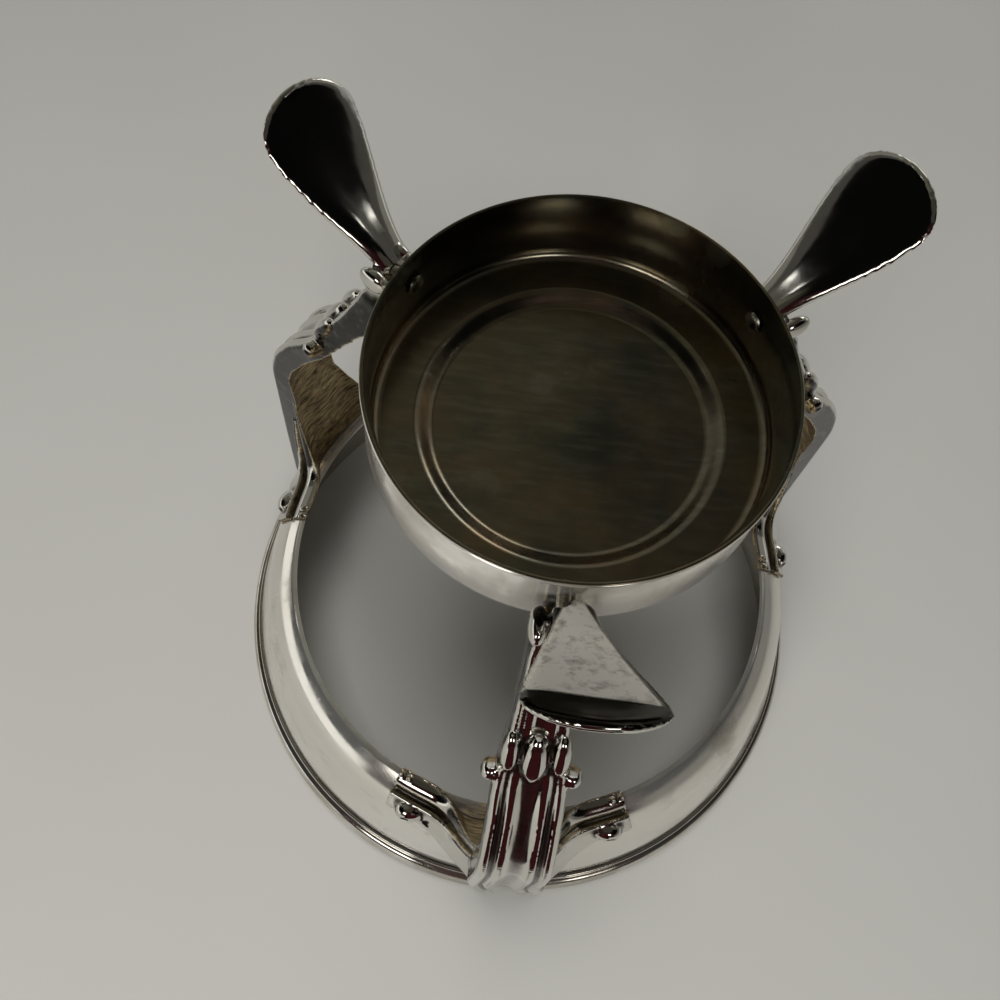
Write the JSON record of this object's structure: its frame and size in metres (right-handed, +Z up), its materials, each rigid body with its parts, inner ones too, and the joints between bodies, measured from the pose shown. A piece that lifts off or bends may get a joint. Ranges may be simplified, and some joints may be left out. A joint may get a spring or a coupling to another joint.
{
  "type": "carafe stand",
  "caption": "Silver-plated carafe stand: a spun collar with a reeded foot wire, fluted cabriole legs with leaf tops and a riveted burner cup.",
  "frame": {"origin": "on the floor under the centre of the collar", "axes": "+Z up along the axis of the collar and cup, -Y toward the front leg, +X to the right of it"},
  "size_m": [0.1546, 0.1554, 0.1526],
  "materials": {
    "silver_plate": "polished silver plate, fine scratches",
    "tarnished_silver": "tarnished spun silver plate, olive brown inside",
    "rivet_silver": "hammered rivet heads, dull silver plate"
  },
  "bodies": {
    "root": {"collar": "silver_plate", "reeded_wire": "silver_plate", "burner_cup": "tarnished_silver", "leg_front": "silver_plate", "leg_right": "silver_plate", "leg_left": "silver_plate", "rivet_front": "rivet_silver", "rivet_right": "rivet_silver", "rivet_left": "rivet_silver"}
  },
  "joints": []
}
